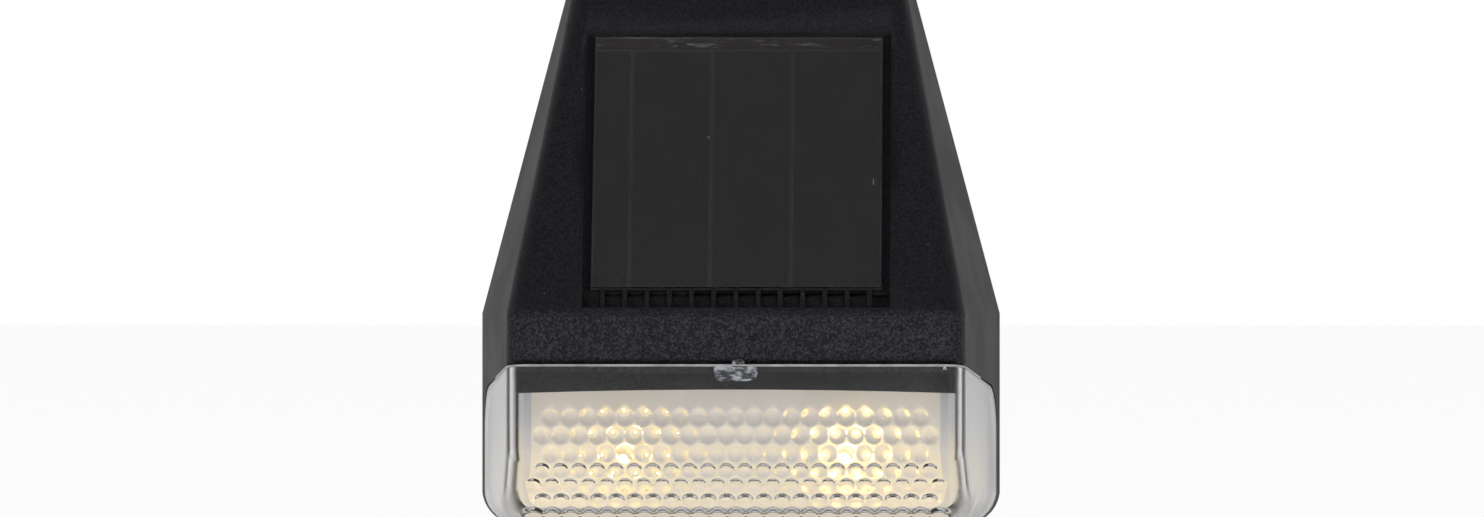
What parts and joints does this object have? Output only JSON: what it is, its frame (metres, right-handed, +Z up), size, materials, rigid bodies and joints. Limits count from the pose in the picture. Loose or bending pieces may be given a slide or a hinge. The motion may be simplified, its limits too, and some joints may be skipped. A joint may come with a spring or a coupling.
{
  "type": "fence light",
  "caption": "Wedge-shaped solar fence light with a panel on its sloped face, a clear pimpled lens below, keyhole mounting and a slide switch on the back.",
  "frame": {"origin": "on the face that lies against the fence, midway between the entry holes of the two keyholes", "axes": "+X to the right seen from the front, +Y into the fence, +Z up"},
  "size_m": [0.095, 0.0439, 0.097],
  "materials": {
    "casing_black": "fine matt moulded texture",
    "gasket_rubber": "matt",
    "screw_steel": "plated, bright",
    "foam_tape": "double-sided foam",
    "board_green": "glass-fibre laminate",
    "solar_film": "thin film under glass",
    "busbar_silver": "dull print",
    "panel_glass": "smooth",
    "solder_tin": "tinned",
    "lens_clear": "clear moulded plastic, pimpled inside",
    "reflector_white": "white, low gloss",
    "led_warm": "warm white, lit",
    "chip_black": "moulded",
    "coil_copper": "enamelled copper winding",
    "can_aluminium": "drawn can",
    "sheet_steel": "nickel plated",
    "knob_black": "moulded",
    "battery_sleeve": "plain printed sleeve",
    "lead_black": "insulation",
    "lead_red": "insulation"
  },
  "bodies": {
    "light": {"front_housing": "casing_black", "back_cover": "casing_black", "cover_gasket": "gasket_rubber", "cover_screws": "screw_steel", "board_screws": "screw_steel", "panel_tape": "foam_tape", "panel_backing": "board_green", "solar_cells": "solar_film", "panel_busbar": "busbar_silver", "solar_glass": "panel_glass", "panel_terminals": "solder_tin", "lens": "lens_clear", "reflector": "reflector_white", "circuit_board": "board_green", "led_left": "led_warm", "led_right": "led_warm", "led_pins": "solder_tin", "driver_chip": "chip_black", "driver_coil": "coil_copper", "storage_capacitor": "can_aluminium", "switch_body": "chip_black", "switch_frame": "sheet_steel", "switch_pins": "solder_tin", "battery_cell": "battery_sleeve", "battery_cap": "sheet_steel", "battery_contact_minus": "sheet_steel", "battery_contact_plus": "sheet_steel", "battery_spring": "sheet_steel", "solar_lead_black": "lead_black", "solar_lead_red": "lead_red", "battery_lead_black": "lead_black", "battery_lead_red": "lead_red"},
    "switch_knob": {"switch_slider": "knob_black"}
  },
  "joints": [
    {"name": "switch_slide", "type": "slide", "parent": "light", "child": "switch_knob", "axis": [1, 0, 0], "range_m": [0, 0.002]}
  ]
}
